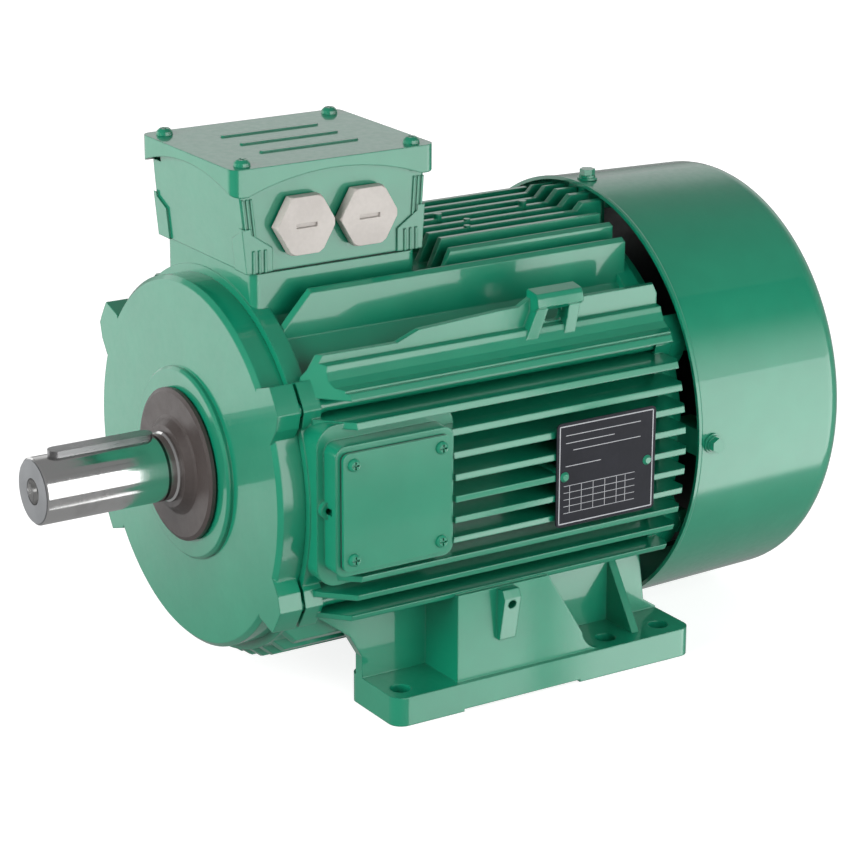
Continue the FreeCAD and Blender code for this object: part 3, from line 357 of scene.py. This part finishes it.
def world_light():
    """A dim room with a brighter patch low in the sky, behind the motor on its far side."""
    world = bpy.data.worlds.new("studio")
    bpy.context.scene.world = world
    world.use_nodes = True
    tree = world.node_tree
    way = tree.nodes.new("ShaderNodeTexCoord").outputs["Generated"]
    split = tree.nodes.new("ShaderNodeSeparateXYZ")
    tree.links.new(way, split.inputs[0])
    x, y, z = [Field(tree, out) for out in split.outputs]
    room = z.ramp(0.1, 0.8, 0.30, 0.24)
    patch = (y * 0.54 - x * 0.84).ramp(0.55, 0.9, 0.0, 0.42)
    light = room + patch * z.ramp(0.02, 0.2) * z.ramp(0.4, 0.65, 1.0, 0.0)
    background = tree.nodes["Background"]
    tree.links.new(light.source, background.inputs["Strength"])
    background.inputs["Color"].default_value = (1.0, 1.0, 1.0, 1.0)


def lamp(name, place, aim, width, power):
    """A soft square lamp."""
    data = bpy.data.lights.new(name, "AREA")
    data.shape = "SQUARE"
    data.size = width
    data.energy = power
    made = bpy.data.objects.new(name, data)
    made.location = place
    made.rotation_euler = (Vector(aim) - Vector(place)).to_track_quat("-Z", "Y").to_euler()
    bpy.context.scene.collection.objects.link(made)
    return made


def glow_card(name, x, y_span, z_span, shine):
    """An upright softbox facing along x; shine(y, z) gives its brightness from place to place."""
    material = bpy.data.materials.new(name)
    material.use_nodes = True
    tree = material.node_tree
    tree.nodes.clear()
    split = tree.nodes.new("ShaderNodeSeparateXYZ")
    tree.links.new(tree.nodes.new("ShaderNodeTexCoord").outputs["Object"], split.inputs[0])
    _, y, z = [Field(tree, out) for out in split.outputs]
    glow = tree.nodes.new("ShaderNodeEmission")
    feed(tree, glow.inputs["Strength"], shine(y, z))
    out = tree.nodes.new("ShaderNodeOutputMaterial")
    tree.links.new(glow.outputs[0], out.inputs[0])
    mesh = bpy.data.meshes.new(name)
    (near, far), (low, high) = y_span, z_span
    corners = [(x, near, low), (x, far, low), (x, far, high), (x, near, high)]
    mesh.from_pydata(corners, [], [(0, 1, 2, 3)])
    mesh.materials.append(material)
    made = bpy.data.objects.new(name, mesh)
    made.visible_camera = False
    made.visible_shadow = False
    bpy.context.scene.collection.objects.link(made)


def studio_floor():
    """A white floor, a hair below the feet, that glows enough to stay near white."""
    paint = Paint("floor_paint")
    tone = paint.noise(3, 3).ramp(0.3, 0.7)
    paint.set(Base_Color=tone.blend((0.33, 0.33, 0.328), (0.36, 0.36, 0.358)), Roughness=0.9)
    paint.set(Emission_Color=(1.0, 1.0, 1.0), Emission_Strength=0.84, Specular_IOR_Level=0.1)
    mesh = bpy.data.meshes.new("studio_floor")
    reach, level = 9.0, -0.0003
    mesh.from_pydata([(-reach, -reach, level), (reach, -reach, level), (reach, reach, level),
                      (-reach, reach, level)], [], [(0, 1, 2, 3)])
    mesh.materials.append(paint.material)
    made = bpy.data.objects.new("studio_floor", mesh)
    made.visible_glossy = False
    made.visible_diffuse = False
    made.visible_shadow = False
    bpy.context.scene.collection.objects.link(made)


def camera():
    """The view from the shaft end's near side, a little from above, through a long lens."""
    azimuth, elevation, roll = math.radians(57.39), math.radians(17.79), math.radians(0.3)
    back = Vector((math.sin(azimuth) * math.cos(elevation), -math.cos(azimuth) * math.cos(elevation),
                   math.sin(elevation)))
    right = Vector((math.cos(azimuth), math.sin(azimuth), 0))
    up = back.cross(right)
    target = Vector((0, -0.009, AXIS_Z))
    aside, above, away = 0.02698, 0.01568, 1.729
    data = bpy.data.cameras.new("camera")
    data.sensor_width = 36
    data.lens = 125.2
    data.shift_x = -0.0155
    data.shift_y = -0.0345
    made = bpy.data.objects.new("camera", data)
    turned = Matrix((right, up, back)).transposed().to_4x4()
    place = Matrix.Translation(target + right * aside + up * above + back * away)
    made.matrix_world = place @ turned @ Matrix.Rotation(roll, 4, "Z")
    bpy.context.scene.collection.objects.link(made)
    bpy.context.scene.camera = made


world_light()
studio_floor()
camera()

# softboxes beside the motor: their distance along x, and the edges that they share
BESIDE = 1.0
SPLIT_Y, FAR_Y = 0.62, 2.2
SPLIT_Z, DEEP_Z = 0.34, -1.25
glow_card("right_softbox", BESIDE, (SPLIT_Y, FAR_Y), (DEEP_Z, SPLIT_Z),
          lambda y, z: y.ramp(SPLIT_Y, 0.70, 0.0, 3.5) * z.ramp(-1.2, -0.95, 0.15, 1.0))
glow_card("upper_softbox", BESIDE, (SPLIT_Y, FAR_Y), (SPLIT_Z + 0.001, 1.7),
          lambda y, z: z.ramp(0.3, 1.0, 1.9, 0.1))
glow_card("foot_card", BESIDE, (0.45, SPLIT_Y - 0.001), (DEEP_Z, -0.30),
          lambda y, z: z.ramp(-0.42, -0.30, 2.2, 0.6))
glow_card("low_side_card", BESIDE, (-0.4, SPLIT_Y - 0.001), (-0.25, 0.8),
          lambda y, z: z.ramp(-0.23, -0.07, 0.0, 3.2))
glow_card("left_card", -BESIDE, (-2.4, -0.2), (-0.55, 0.7),
          lambda y, z: z.ramp(-0.48, -0.18, 0.3, 1.25))
key = lamp("key_light", (0.15, -1.9, 0.75), (0, -0.05, 0.15), 1.2, 46)
back_fill = lamp("back_fill", (-1.5, 1.5, 0.9), (0, 0.05, 0.15), 1.4, 24)
for light in (key, back_fill):
    light.visible_glossy = False

bpy.context.scene.view_settings.view_transform = "Standard"
